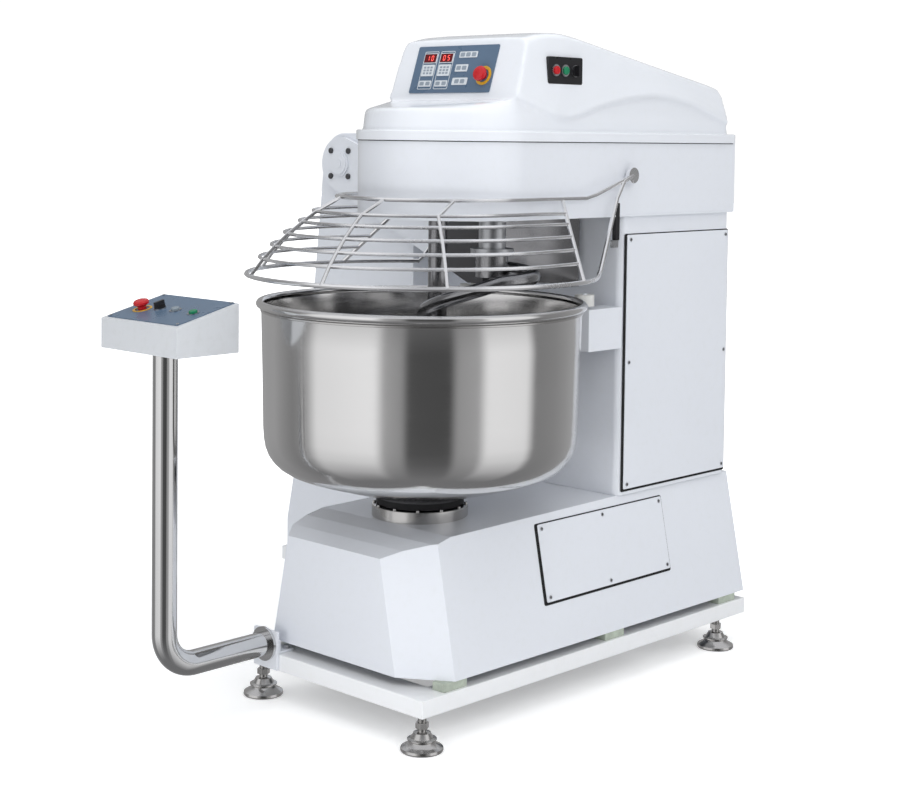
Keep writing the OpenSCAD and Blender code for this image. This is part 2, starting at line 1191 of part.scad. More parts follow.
module guard_cage() {
    translate(to_foot)
    color(steel)
    union() {
        sweep(top_path(), wire_r + 1, 8);
        sweep(bottom_path(), wire_r + 1.5, 8);
        for (g = [0 : 4])
            sweep(ring_path(guard_rings[g][0], guard_rings[g][1]), wire_r, 8);
        for (a = [205 : 39 : 322])
            sweep(rib_path(a), wire_r, 8);
        for (s = [-1, 1]) {
            sweep([[s * 266, -140, 1300], [s * 434, -252, 1106]], wire_r + 1.2, 8);
            translate([s * 268, guard_y, guard_z])
                rotate([0, 90, 0])
                    cylinder(r = 21, h = 12, center = true);
            translate([s * 253, guard_y, guard_z])
                rotate([0, 90, 0])
                    cylinder(r = 8, h = 36, center = true);
        }
    }
}

base_frame();
foot_bells();
foot_nuts();
rest_pads();
tower_shell();
tower_door();
tilt_bushes();
ram_barrel();
power_pack();
pipe_bracket();
bracket_bolts();
pendant_pipe();
pendant_box();
pendant_panel();
cover_screws();
pendant_stop();
pendant_selector();
pendant_up();
pendant_down();
ram_rod();
lift_chain();
tilt_yoke();
tilt_shaft();
tilt_sprocket();
yoke_bolts();
plinth_shell();
column_shell();
head_shell();
head_floor();
top_cover();
side_panel();
access_panel();
panel_screws();
bowl_pedestal();
bearing_plate();
bowl_bearing();
bowl_motor();
bowl_belt();
motor_pulley();
spiral_motor();
spiral_belt();
spiral_drive();
spiral_bearing();
breaker_bar();
roller_brackets();
guide_roller_right();
guide_roller_left();
control_panel();
panel_displays();
panel_keys();
switch_plate();
head_stop();
start_button();
stop_button();
head_selector();
bowl();
bowl_hub();
spiral_tool();
spiral_shaft();
guard_cage();
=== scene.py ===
# Looks for the self-tipping spiral dough mixer: materials, moulded cover, spun bowl, studio.

import math

import bmesh
import bpy
from mathutils import Matrix, Vector


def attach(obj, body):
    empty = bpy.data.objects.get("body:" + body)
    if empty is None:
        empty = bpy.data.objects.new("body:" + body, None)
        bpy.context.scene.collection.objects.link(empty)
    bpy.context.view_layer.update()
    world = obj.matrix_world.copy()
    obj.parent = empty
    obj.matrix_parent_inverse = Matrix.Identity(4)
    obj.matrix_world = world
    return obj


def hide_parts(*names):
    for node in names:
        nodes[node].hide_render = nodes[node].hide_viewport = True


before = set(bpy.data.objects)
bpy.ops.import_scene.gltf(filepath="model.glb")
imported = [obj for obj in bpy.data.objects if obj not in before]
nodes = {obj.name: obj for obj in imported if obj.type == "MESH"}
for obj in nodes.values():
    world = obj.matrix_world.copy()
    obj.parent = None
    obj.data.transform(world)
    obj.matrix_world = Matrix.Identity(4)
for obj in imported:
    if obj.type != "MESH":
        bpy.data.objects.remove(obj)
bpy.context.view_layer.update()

MM = 0.001

# pieces are laid out from under the middle of the mixer's frame; this moves them to the origin
TO_FOOT = Vector((-0.291, 0.656, 0))

# the camera's place, heading, pitch and roll; the studio's reflections are laid out from its heading
CAM_AT = (3.119, -3.537, 1.460)
CAM_AZ = math.radians(43.73)
CAM_PITCH = math.radians(-2.9044)
CAM_ROLL = math.radians(0.6847)
CAM_LENS = 69.03
CAM_SHIFT = -0.1917
TO_CAM = Vector((math.sin(CAM_AZ), -math.cos(CAM_AZ), 0))
TO_RIGHT = Vector((math.cos(CAM_AZ), math.sin(CAM_AZ), 0))


# ---------------------------------------------------------------- materials

def start_material(name):
    mat = bpy.data.materials.new(name)
    mat.use_nodes = True
    tree = mat.node_tree
    return mat, tree, tree.nodes["Principled BSDF"]


def add(tree, kind, **values):
    n = tree.nodes.new(kind)
    for key, value in values.items():
        if hasattr(n, key):
            setattr(n, key, value)
        else:
            n.inputs[key.replace("_", " ")].default_value = value
    return n


def object_coords(tree, stretch=(1, 1, 1)):
    coords = add(tree, "ShaderNodeTexCoord")
    mapping = add(tree, "ShaderNodeMapping")
    mapping.inputs["Scale"].default_value = stretch
    tree.links.new(coords.outputs["Object"], mapping.inputs["Vector"])
    return mapping.outputs["Vector"]


def noise(tree, vector, scale, detail=3.0, rough=0.5):
    n = add(tree, "ShaderNodeTexNoise")
    n.inputs["Scale"].default_value = scale
    n.inputs["Detail"].default_value = detail
    n.inputs["Roughness"].default_value = rough
    tree.links.new(vector, n.inputs["Vector"])
    return n.outputs["Fac"]


def spread(tree, fac, low, high, start=0.3, end=0.7):
    """fac between start and end becomes a number between low and high"""
    n = add(tree, "ShaderNodeMapRange")
    n.inputs["From Min"].default_value = start
    n.inputs["From Max"].default_value = end
    n.inputs["To Min"].default_value = low
    n.inputs["To Max"].default_value = high
    tree.links.new(fac, n.inputs["Value"])
    return n.outputs["Result"]


def tint(tree, fac, dark, light):
    """a colour that runs from dark to light with fac"""
    n = add(tree, "ShaderNodeMix", data_type="RGBA")
    n.inputs[6].default_value = (*dark, 1)
    n.inputs[7].default_value = (*light, 1)
    tree.links.new(fac, n.inputs[0])
    return n.outputs[2]


def bump(tree, bsdf, height, strength, distance):
    n = add(tree, "ShaderNodeBump")
    n.inputs["Strength"].default_value = strength
    n.inputs["Distance"].default_value = distance
    tree.links.new(height, n.inputs["Height"])
    tree.links.new(n.outputs["Normal"], bsdf.inputs["Normal"])


def scaled(color, k):
    return tuple(min(1.0, c * k) for c in color)


def paint(name, color, rough=0.3, coat=0.35, peel=0.05, grime=0.93):
    """sprayed gloss paint: orange peel, soft cloudiness and a trace of grime in random specks"""
    mat, tree, bsdf = start_material(name)
    vec = object_coords(tree)
    clouds = noise(tree, vec, 3.1, 4)
    base = tint(tree, spread(tree, clouds, 0, 1), scaled(color, 0.99), color)
    specks = noise(tree, vec, 46, 6, 0.7)
    mix = add(tree, "ShaderNodeMix", data_type="RGBA", blend_type="MULTIPLY")
    tree.links.new(spread(tree, specks, 0, 1, 0.5, 0.8), mix.inputs[0])
    tree.links.new(base, mix.inputs[6])
    mix.inputs[7].default_value = (grime, grime, grime * 0.985, 1)
    tree.links.new(mix.outputs[2], bsdf.inputs["Base Color"])
    tree.links.new(spread(tree, clouds, rough - 0.015, rough + 0.02), bsdf.inputs["Roughness"])
    bsdf.inputs["Coat Weight"].default_value = coat
    bsdf.inputs["Coat Roughness"].default_value = 0.08
    bump(tree, bsdf, noise(tree, vec, 420, 2), peel, 0.0006)
    return mat


def steel(name, color, rough, stretch=(1, 1, 1), grain=0.02, scale=90):
    """stainless steel with fine lines; stretch sets which way the lines run"""
    mat, tree, bsdf = start_material(name)
    vec = object_coords(tree, stretch)
    lines = noise(tree, vec, scale, 5, 0.65)
    smears = noise(tree, object_coords(tree), 6, 4)
    tree.links.new(tint(tree, smears, scaled(color, 0.93), color), bsdf.inputs["Base Color"])
    both = add(tree, "ShaderNodeMath", operation="MULTIPLY")
    tree.links.new(lines, both.inputs[0])
    tree.links.new(smears, both.inputs[1])
    tree.links.new(spread(tree, both.outputs[0], rough * 0.75, rough * 1.35, 0.12, 0.4),
                   bsdf.inputs["Roughness"])
    bsdf.inputs["Metallic"].default_value = 1
    bump(tree, bsdf, lines, grain, 0.0005)
    return mat


def plastic(name, color, rough, grain=0.12, scale=900):
    """moulded plastic or enamel with a fine spark-eroded grain"""
    mat, tree, bsdf = start_material(name)
    vec = object_coords(tree)
    clouds = noise(tree, vec, 20, 3)
    tree.links.new(tint(tree, clouds, scaled(color, 0.9), color), bsdf.inputs["Base Color"])
    tree.links.new(spread(tree, clouds, rough * 0.85, rough * 1.15), bsdf.inputs["Roughness"])
    bump(tree, bsdf, noise(tree, vec, scale, 2), grain, 0.0004)
    return mat


def rubber(name, color):
    mat, tree, bsdf = start_material(name)
    vec = object_coords(tree)
    dust = noise(tree, vec, 35, 6, 0.7)
    tree.links.new(tint(tree, spread(tree, dust, 0, 1), color, scaled(color, 1.5)),
                   bsdf.inputs["Base Color"])
    tree.links.new(spread(tree, dust, 0.62, 0.85), bsdf.inputs["Roughness"])
    bump(tree, bsdf, noise(tree, vec, 260, 4), 0.25, 0.0008)
    return mat


def glow(name, color, strength):
    mat, tree, bsdf = start_material(name)
    vec = object_coords(tree)
    flicker = noise(tree, vec, 300, 1)
    shade = tint(tree, flicker, scaled(color, 0.8), color)
    tree.links.new(shade, bsdf.inputs["Base Color"])
    tree.links.new(shade, bsdf.inputs["Emission Color"])
    bsdf.inputs["Emission Strength"].default_value = strength
    return mat


WHITE = (0.80, 0.825, 0.88)
M = {
    "white_paint": paint("white_paint", WHITE, grime=0.975),
    # a lighter copy of the white paint: painted light that brightens the base frame
    "frame_white_painted_light": paint("frame_white_painted_light", (0.93, 0.94, 0.96), grime=0.97),
    "cover": paint("cover_gelcoat", (0.84, 0.865, 0.915), 0.22, 0.5, 0.03, 0.985),
    "bowl_steel": steel("spun_steel", (0.78, 0.775, 0.77), 0.12, (1, 1, 60), 0.015, 9),
    "wire_steel": steel("polished_wire", (0.93, 0.93, 0.94), 0.22),
    "pole_steel": steel("brushed_tube", (0.72, 0.72, 0.72), 0.1, (8, 8, 0.6), 0.01, 60),
    # the spun steel darkened to 0.30: painted shade for the splash sheet and breaker bar under the
    # head
    "steel_darkened_as_shade": steel("steel_darkened_as_shade", (0.30, 0.30, 0.31), 0.12, (1, 1, 40), 0.015, 9),
    "tool_steel": steel("tool_steel", (0.34, 0.34, 0.35), 0.16),
    "foot_steel": steel("foot_steel", (0.60, 0.59, 0.58), 0.2),
    "brushed_steel": steel("brushed_steel", (0.55, 0.56, 0.58), 0.3, (1, 20, 1), 0.05, 50),
    # near-black: painted shade for the tilt yoke seen in the gap between tower and column; also the
    # dark ram, chain, sprocket and bolts
    "dark_steel": paint("dark_steel", (0.05, 0.05, 0.055), 0.4, 0.1),
    "cast_hub": rubber("cast_hub", (0.06, 0.06, 0.065)),
    "bronze": steel("bronze", (0.58, 0.40, 0.18), 0.3),
    "belt_rubber": rubber("belt_rubber", (0.018, 0.018, 0.018)),
    "pad_rubber": rubber("pad_rubber", (0.36, 0.40, 0.34)),
    "motor_paint": paint("motor_paint", (0.10, 0.11, 0.13), 0.45, 0.1),
    "panel_blue": plastic("panel_blue", (0.105, 0.165, 0.25), 0.3),
    "red_plastic": plastic("red_plastic", (0.55, 0.012, 0.018), 0.22, 0.02),
    "black_plastic": plastic("black_plastic", (0.012, 0.012, 0.014), 0.32),
    "box_grey": paint("box_grey", (0.66, 0.68, 0.71), 0.35, 0.2),
    "grey_plastic": plastic("grey_plastic", (0.25, 0.30, 0.34), 0.3),
    "green_plastic": plastic("green_plastic", (0.01, 0.22, 0.10), 0.25, 0.02),
    "key_white": plastic("key_white", (0.72, 0.76, 0.80), 0.35),
    "key_grey": plastic("key_grey", (0.30, 0.35, 0.41), 0.4),
    "display_red": plastic("display_red", (0.13, 0.006, 0.010), 0.12, 0.0),
    "yellow_plastic": plastic("yellow_plastic", (0.75, 0.42, 0.03), 0.3, 0.02),
    "roller_nylon": plastic("roller_nylon", (0.72, 0.72, 0.70), 0.4),
    # near-black: painted shade in the panel gaps, the pedestal gap and the screw recesses, and the
    # real black of the cover seal
    "gap_black": rubber("gap_black", (0.006, 0.006, 0.007)),
    "digit_glow": glow("digit_glow", (1.0, 0.10, 0.08), 1.6),
}

MATERIAL_OF = {
    "frame_white_painted_light": ["base_frame"],
    "white_paint": ["tower_shell", "tower_door", "pipe_bracket",
                    "plinth_shell", "column_shell", "head_shell", "side_panel", "access_panel",
                    "roller_brackets"],
    "cover": ["top_cover"],
    "bowl_steel": ["bowl"],
    "wire_steel": ["guard_cage", "ram_rod"],
    "pole_steel": ["pendant_pipe"],
    "tool_steel": ["spiral_tool"],
    "steel_darkened_as_shade": ["breaker_bar"],
    "foot_steel": ["foot_bells", "foot_nuts", "bowl_pedestal"],
    "brushed_steel": ["bracket_bolts", "cover_screws", "panel_screws", "tilt_shaft",
                      "head_floor", "bearing_plate", "bowl_bearing", "spiral_bearing",
                      "spiral_shaft", "motor_pulley", "spiral_drive"],
    "dark_steel": ["tilt_yoke", "ram_barrel", "lift_chain", "tilt_sprocket", "yoke_bolts"],
    "cast_hub": ["bowl_hub"],
    "bronze": ["tilt_bushes"],
    "belt_rubber": ["bowl_belt", "spiral_belt"],
    "pad_rubber": ["rest_pads"],
    "motor_paint": ["power_pack", "bowl_motor", "spiral_motor"],
    "panel_blue": ["control_panel", "pendant_panel"],
    "red_plastic": ["head_stop", "stop_button", "pendant_stop"],
    "black_plastic": ["switch_plate", "head_selector", "pendant_selector"],
    "box_grey": ["pendant_box"],
    "grey_plastic": ["pendant_up"],
    "green_plastic": ["start_button", "pendant_down"],
    "key_white": ["panel_keys"],
    "display_red": ["panel_displays"],
    "roller_nylon": ["guide_roller_right", "guide_roller_left"],
}

# edge radius, in mm, of the CAD nodes whose edges are worth rounding
EDGE = {
    "base_frame": 2.5, "tower_shell": 2.0, "tower_door": 1.0, "pipe_bracket": 1.5,
    "tilt_yoke": 2.0, "column_shell": 1.2, "head_shell": 1.2, "side_panel": 1.2,
    "access_panel": 1.2, "bowl_pedestal": 2.5, "roller_brackets": 1.2, "pendant_box": 1.1,
    "pendant_panel": 0.7, "control_panel": 0.8, "switch_plate": 1.2, "panel_keys": 0.5,
    "panel_displays": 0.4, "foot_nuts": 1.0, "panel_screws": 0.6, "cover_screws": 0.5,
    "pendant_selector": 0.8, "head_selector": 0.8, "rest_pads": 1.5, "yoke_bolts": 1.2,
    "power_pack": 3.0, "bowl_motor": 2.0, "spiral_motor": 2.0, "bracket_bolts": 0.8,
    "lift_chain": 0.6, "tilt_sprocket": 0.6, "head_floor": 0.8, "bearing_plate": 1.0,
}


def smooth_group(angle):
    """shades a mesh smooth, apart from edges sharper than angle"""
    tree = bpy.data.node_groups.new("smooth_%d" % angle, "GeometryNodeTree")
    tree.interface.new_socket("Geometry", in_out="INPUT", socket_type="NodeSocketGeometry")
    tree.interface.new_socket("Geometry", in_out="OUTPUT", socket_type="NodeSocketGeometry")
    enter = tree.nodes.new("NodeGroupInput")
    leave = tree.nodes.new("NodeGroupOutput")
    all_smooth = tree.nodes.new("GeometryNodeSetShadeSmooth")
    sharp = tree.nodes.new("GeometryNodeSetShadeSmooth")
    sharp.domain = "EDGE"
    sharp.inputs["Shade Smooth"].default_value = False
    edge = tree.nodes.new("GeometryNodeInputMeshEdgeAngle")
    over = tree.nodes.new("FunctionNodeCompare")
    over.data_type = "FLOAT"
    over.operation = "GREATER_THAN"
    over.inputs[1].default_value = math.radians(angle)
    link = tree.links.new
    link(edge.outputs["Unsigned Angle"], over.inputs[0])
    link(enter.outputs[0], all_smooth.inputs["Geometry"])
    link(all_smooth.outputs[0], sharp.inputs["Geometry"])
    link(over.outputs[0], sharp.inputs["Selection"])
    link(sharp.outputs[0], leave.inputs[0])
    return tree


SMOOTH = smooth_group(34)


def finish_edges(obj, width):
    """merges a CAD node's triangles into faces, rounds its edges and shades it smooth"""
    weld = obj.modifiers.new("weld", "WELD")
    weld.merge_threshold = 1e-5
    if width:
        flat = obj.modifiers.new("flat", "DECIMATE")
        flat.decimate_type = "DISSOLVE"
        flat.angle_limit = math.radians(0.6)
        bevel = obj.modifiers.new("round", "BEVEL")
        bevel.width = width * MM
        bevel.segments = 3
        bevel.limit_method = "ANGLE"
        bevel.angle_limit = math.radians(38)
        bevel.use_clamp_overlap = True
    shade = obj.modifiers.new("smooth", "NODES")
    shade.node_group = SMOOTH
    if width:
        weigh = obj.modifiers.new("weigh", "WEIGHTED_NORMAL")
        weigh.keep_sharp = True


for slot_name, members in MATERIAL_OF.items():
    for member in members:
        node = nodes[member]
        node.data.materials.clear()
        node.data.materials.append(M[slot_name])
        if "custom_normal" in node.data.attributes:
            node.data.attributes.remove(node.data.attributes["custom_normal"])
        finish_edges(node, EDGE.get(member))


# ---------------------------------------------------------------- mesh helpers

def to_object(name, bm, mat, body, smooth=True):
    bmesh.ops.recalc_face_normals(bm, faces=bm.faces)
    bmesh.ops.translate(bm, verts=bm.verts, vec=TO_FOOT)
    mesh = bpy.data.meshes.new(name)
    bm.to_mesh(mesh)
    bm.free()
    obj = bpy.data.objects.new(name, mesh)
    bpy.context.scene.collection.objects.link(obj)
    mesh.materials.append(M[mat])
    if smooth:
        for face in mesh.polygons:
            face.use_smooth = True
        shade = obj.modifiers.new("smooth", "NODES")
        shade.node_group = SMOOTH
    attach(obj, body)
    return obj


def spin(bm, profile, centre, steps=96):
    """turns a closed (r, z) profile, in mm, about a vertical axis"""
    rings = []
    for i in range(steps):
        a = 2 * math.pi * i / steps
        rings.append([bm.verts.new((centre[0] + r * MM * math.cos(a),
                                    centre[1] + r * MM * math.sin(a), z * MM))
                      for r, z in profile])
    for i in range(steps):
        near, far = rings[i], rings[(i + 1) % steps]
        for j in range(len(profile)):
            k = (j + 1) % len(profile)
            bm.faces.new((near[j], far[j], far[k], near[k]))


def prism(bm, outline, low, high, place):
    """extrudes a closed 2D outline, in mm, from low to high; place maps (u, v, w) to a point"""
    bottom = [bm.verts.new(place(u, v, low)) for u, v in outline]
    top = [bm.verts.new(place(u, v, high)) for u, v in outline]
    bm.faces.new(bottom[::-1])
    bm.faces.new(top)
    for i in range(len(outline)):
        j = (i + 1) % len(outline)
        bm.faces.new((bottom[i], bottom[j], top[j], top[i]))


def frame_strip(bm, outer, inner, low, high, place):
    """a flat ring between two outlines of equal length"""
    rows = [[bm.verts.new(place(u, v, w)) for u, v in line]
            for line, w in ((outer, low), (outer, high), (inner, high), (inner, low))]
    n = len(outer)
    for r in range(4):
        a, b = rows[r], rows[(r + 1) % 4]
        for i in range(n):
            j = (i + 1) % n
            bm.faces.new((a[i], a[j], b[j], b[i]))


def rounded(w, h, r, cx=0.0, cy=0.0, steps=5):
    """a rounded rectangle's outline"""
    pts = []
    for qx, qy, start in ((1, 1, 0), (-1, 1, 90), (-1, -1, 180), (1, -1, 270)):
        for i in range(steps + 1):
            a = math.radians(start + 90 * i / steps)
            pts.append((cx + qx * (w / 2 - r) + r * math.cos(a),
                        cy + qy * (h / 2 - r) + r * math.sin(a)))
    return pts


def disc(r, cx=0.0, cy=0.0, steps=40):
    return [(cx + r * math.cos(2 * math.pi * i / steps), cy + r * math.sin(2 * math.pi * i / steps))
            for i in range(steps)]


def upright(u, v, w):
    return (u * MM, v * MM, w * MM)


# ---------------------------------------------------------------- head's outline in plan

HEAD_R = 250
HEAD_CY = -266
HEAD_BACK = 655
HEAD_Z = 1250
COVER_Z = 1448


def head_outline(grow, corner=18):
    r = HEAD_R + grow
    pts = [(r * math.cos(math.radians(a)), HEAD_CY + r * math.sin(math.radians(a)))
           for a in range(180, 361, 5)]
    back = HEAD_BACK + grow
    for cx, start in ((r - corner, 0), (-(r - corner), 90)):
        for i in range(6):
            a = math.radians(start + 18 * i)
            pts.append((cx + corner * math.cos(a), back - corner + corner * math.sin(a)))
    return pts


def run(points, y):
    """height at y along a smooth line through (y, z) points"""
    if y <= points[0][0]:
        return points[0][1]
    last = len(points) - 1
    for i in range(last):
        (y0, z0), (y1, z1) = points[i], points[i + 1]
        if y <= y1:
            before, after = points[max(0, i - 1)], points[min(last, i + 2)]
            m0 = (z1 - before[1]) / (y1 - before[0]) * (y1 - y0)
            m1 = (after[1] - z0) / (after[0] - y0) * (y1 - y0)
            t = (y - y0) / (y1 - y0)
            return ((2 * t ** 3 - 3 * t ** 2 + 1) * z0 + (t ** 3 - 2 * t ** 2 + t) * m0
                    + (3 * t ** 2 - 2 * t ** 3) * z1 + (t ** 3 - t ** 2) * m1)
    return points[-1][1]


def loft(bm, sections):
    """skins a row of closed sections of equal length and caps both ends"""
    rows = [[bm.verts.new(p) for p in s] for s in sections]
    n = len(rows[0])
    for a, b in zip(rows, rows[1:]):
        for i in range(n):
            j = (i + 1) % n
            bm.faces.new((a[i], a[j], b[j], b[i]))
    bm.faces.new(rows[0][::-1])
    bm.faces.new(rows[-1])


# ---------------------------------------------------------------- moulded top cover

RIDGE = [(-290, 1566), (-215, 1545), (-110, 1515), (-60, 1516), (75, 1552), (270, 1577),
         (430, 1562), (560, 1527), (640, 1500)]
ROOF = [(-280, 1713), (-232, 1724), (-170, 1730), (-110, 1729), (0, 1714), (560, 1622),
        (628, 1608)]
FACE_Y = -280
FACE_Z = 1560
FACE_LEAN = 49 / 148
BODY_LENGTH = 908
# how far the shelf and the flange stand out from the head, and how high over the cover's foot
SHELF = ((-11, 14), (-14, 42), (-17, 70), (-21, 78), (-29, 82))
FLANGE = ((4, 0), (5, 1), (5, 23), (3.5, 25), (1, 26), (-22, 26), (-22, 22))
VOXEL = 0.0045


def upper_section(t):
    """the cover's upper body at t from front 0 to back 1: the ridge line stands out at its sides"""
    y = FACE_Y + BODY_LENGTH * t
    ridge = run(RIDGE, y)
    top = run(ROOF, y)
    widen = min(1.0, (y - FACE_Y) / 150)
    out = 232 + 12 * widen
    recess = min(out - 10, 232)
    shoulder = 220 + 2 * widen - 4 * t
    right = [(recess, 1485), (recess, ridge - 12), (out - 2, ridge - 3), (out, ridge + 5),
             (out - 3, ridge + 16), (lean(out, shoulder, 0.35), lean(ridge, top, 0.35)),
             (lean(out, shoulder, 0.75), lean(ridge, top, 0.75)), (shoulder - 1, top - 14),
             (shoulder - 8, top - 5), (shoulder - 22, top - 1), (shoulder - 80, top + 1)]
    line = right + [(-x, z) for x, z in right[::-1]]
    pts = []
    for x, z in line:
        front = FACE_Y + (z - FACE_Z) * FACE_LEAN
        back = FACE_Y + BODY_LENGTH - max(0, z - 1540) * 0.16
        pts.append((x * MM, (front + (back - front) * t) * MM, z * MM))
    return pts


def lean(a, b, t):
    return a + (b - a) * t


def build_cover():
    bm = bmesh.new()
    prism(bm, head_outline(1), COVER_Z + 8, COVER_Z + 23, upright)
    shelf = bmesh.new()
    for grow, rise in SHELF:
        for u, v in head_outline(grow):
            shelf.verts.new(upright(u, v, COVER_Z + rise))
    for u, v in rounded(440, 916, 10, 0, 172):
        shelf.verts.new(upright(u, v, COVER_Z + 104))
    bmesh.ops.convex_hull(shelf, input=shelf.verts)
    part = bpy.data.meshes.new("shelf")
    shelf.to_mesh(part)
    shelf.free()
    bm.from_mesh(part)
    bpy.data.meshes.remove(part)
    loft(bm, [upper_section(i / 60) for i in range(61)])
    bmesh.ops.recalc_face_normals(bm, faces=bm.faces)
    rough = bpy.data.meshes.new("cover_rough")
    bm.to_mesh(rough)
    bm.free()
    obj = bpy.data.objects.new("cover_rough", rough)
    bpy.context.scene.collection.objects.link(obj)
    voxels = obj.modifiers.new("voxels", "REMESH")
    voxels.mode = "VOXEL"
    voxels.voxel_size = VOXEL
    soften = obj.modifiers.new("soften", "SMOOTH")
    soften.factor = 0.5
    soften.iterations = 6
    made = bpy.data.meshes.new_from_object(
        obj.evaluated_get(bpy.context.evaluated_depsgraph_get()))
    bpy.data.objects.remove(obj)
    bm = bmesh.new()
    bm.from_mesh(made)
    under = [f for f in bm.faces
             if f.calc_center_median().z < (COVER_Z + 10) * MM and abs(f.normal.z) > 0.7]
    bmesh.ops.delete(bm, geom=under, context="FACES")
    cover = to_object("top_cover_moulding", bm, "cover", "mixer")
    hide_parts("top_cover")
    bm = bmesh.new()
    rows = [[bm.verts.new(upright(u, v, COVER_Z + rise)) for u, v in head_outline(grow)]
            for grow, rise in FLANGE]
    for a, b in zip(rows, rows[1:]):
        for i in range(len(a)):
            j = (i + 1) % len(a)
            bm.faces.new((a[i], a[j], b[j], b[i]))
    to_object("cover_flange", bm, "cover", "mixer")


build_cover()

bm = bmesh.new()
frame_strip(bm, head_outline(1.0), head_outline(-3), COVER_Z - 2.2, COVER_Z + 1, upright)
to_object("cover_seal", bm, "gap_black", "mixer")

# the lip round the head's lower edge
bm = bmesh.new()
frame_strip(bm, head_outline(1.5), head_outline(-1), HEAD_Z - 1, HEAD_Z + 4, upright)
to_object("head_lip", bm, "white_paint", "mixer")


# ---------------------------------------------------------------- plinth

BODY_Z = 144
SIDE_LEAN = 0.2
DECK = [(-700, 380), (-635, 425), (-602, 447), (-560, 466), (-505, 478), (145, 486), (700, 486)]


def plinth_half(z):
    return 300 - SIDE_LEAN * (z - BODY_Z)


def plinth_outline(z):
    w, front, back = plinth_half(z), -635, 670
    return [(-w + 22, front), (w - 125, front), (w, front + 83), (w, back), (-w, back),
            (-w, front + 30)]


def build_plinth():
    bm = bmesh.new()
    for z in (BODY_Z, 500):
        for u, v in plinth_outline(z):
            bm.verts.new(upright(u, v, z))
    bmesh.ops.convex_hull(bm, input=bm.verts)
    for (y0, z0), (y1, z1) in zip(DECK, DECK[1:]):
        normal = Vector((0, -(z1 - z0), y1 - y0)).normalized()
        cut = bmesh.ops.bisect_plane(bm, geom=bm.verts[:] + bm.edges[:] + bm.faces[:],
                                     plane_co=(0, y0 * MM, z0 * MM), plane_no=normal,
                                     clear_outer=True)
        rim = [e for e in cut["geom_cut"] if isinstance(e, bmesh.types.BMEdge)]
        if rim:
            bmesh.ops.contextual_create(bm, geom=rim)
    bmesh.ops.dissolve_limit(bm, angle_limit=math.radians(0.5), verts=bm.verts, edges=bm.edges)
    bmesh.ops.recalc_face_normals(bm, faces=bm.faces)
    sharp = [e for e in bm.edges if len(e.link_faces) == 2 and e.calc_face_angle() > 0.12
             and e.verts[0].co.z + e.verts[1].co.z > 0.3]
    bmesh.ops.bevel(bm, geom=sharp, offset=0.016, segments=5, profile=0.5, affect="EDGES",
                    clamp_overlap=True)
    under = [f for f in bm.faces if f.normal.z < -0.9]
    bmesh.ops.inset_region(bm, faces=under, thickness=0.004)
    bmesh.ops.delete(bm, geom=[f for f in under if f.is_valid], context="FACES")
    plinth = to_object("plinth_skin", bm, "white_paint", "mixer")
    weigh = plinth.modifiers.new("weigh", "WEIGHTED_NORMAL")
    weigh.keep_sharp = True
    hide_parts("plinth_shell")


build_plinth()


# ---------------------------------------------------------------- bowl

BOWL = (0.0, -0.377)
BOWL_OUT = [(0, 530), (60, 530), (108, 530.5), (122, 533), (200, 554.5), (280, 577), (305, 584.5),
            (330, 592), (350, 600.5), (368, 612), (382, 625.5), (393, 641.5), (400.5, 661),
            (404.6, 684), (406.4, 710), (407.4, 760), (409, 850), (411.5, 940), (413.5, 1016)]
RIM = [(417 + 10 * math.cos(math.radians(a)), 1028 + 10 * math.sin(math.radians(a)))
       for a in range(-105, 226, 15)]


def build_bowl():
    bm = bmesh.new()
    inside = [(max(0.0, r - 4), z + (4 if r < 340 else 2)) for r, z in BOWL_OUT[::-1]]
    spin(bm, BOWL_OUT + RIM + inside, BOWL, 160)
    bmesh.ops.remove_doubles(bm, verts=bm.verts, dist=1e-5)
    bowl = to_object("spun_bowl", bm, "bowl_steel", "bowl")
    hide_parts("bowl")
    # a small raised ring just under the rim bead, in darker steel: its darkness is painted shade
    # beneath the bead
    bm = bmesh.new()
    spin(bm, [(413.4, 1008), (415.6, 1009), (415.9, 1013), (414.0, 1015.5), (412, 1012)], BOWL, 160)
    to_object("rim_bead_shade_ring", bm, "foot_steel", "bowl")


build_bowl()

# the pedestal's collar under the bowl, a black ring of painted shade in its gap, and its cap bolts
bm = bmesh.new()
spin(bm, [(112.3, 512), (114, 512), (114, 527), (112.3, 527)], BOWL, 96)
to_object("hub_band", bm, "gap_black", "bowl")
bm = bmesh.new()
for i in range(12):
    a = math.radians(30 * i + 12)
    at = (BOWL[0] + 0.1185 * math.cos(a), BOWL[1] + 0.1185 * math.sin(a))
    spin(bm, [(0.01, 508), (4.6, 508), (4.6, 512.2), (3.8, 513), (1.8, 513), (1.8, 511), (0.01, 511)],
         at, 16)
to_object("pedestal_bolts", bm, "foot_steel", "mixer")


# ---------------------------------------------------------------- black shadow gaps and screws

COLUMN_SIDE = 240
SIDE_PANEL_Y, SIDE_PANEL_Z = 402, 850
PANEL_Y, PANEL_Z = 75, 361


def side_place(u, v, w):
    """on the column's right side: u along it, v up it, w out of it"""
    return ((COLUMN_SIDE + w) * MM, u * MM, v * MM)


def plinth_place(u, v, w):
    """on the plinth's right side: u along it, v up it, w out of it"""
    tilt = math.atan(SIDE_LEAN)
    x = plinth_half(PANEL_Z) - v * math.sin(tilt) + w * math.cos(tilt)
    z = PANEL_Z + v * math.cos(tilt) + w * math.sin(tilt)
    return (x * MM, u * MM, z * MM)


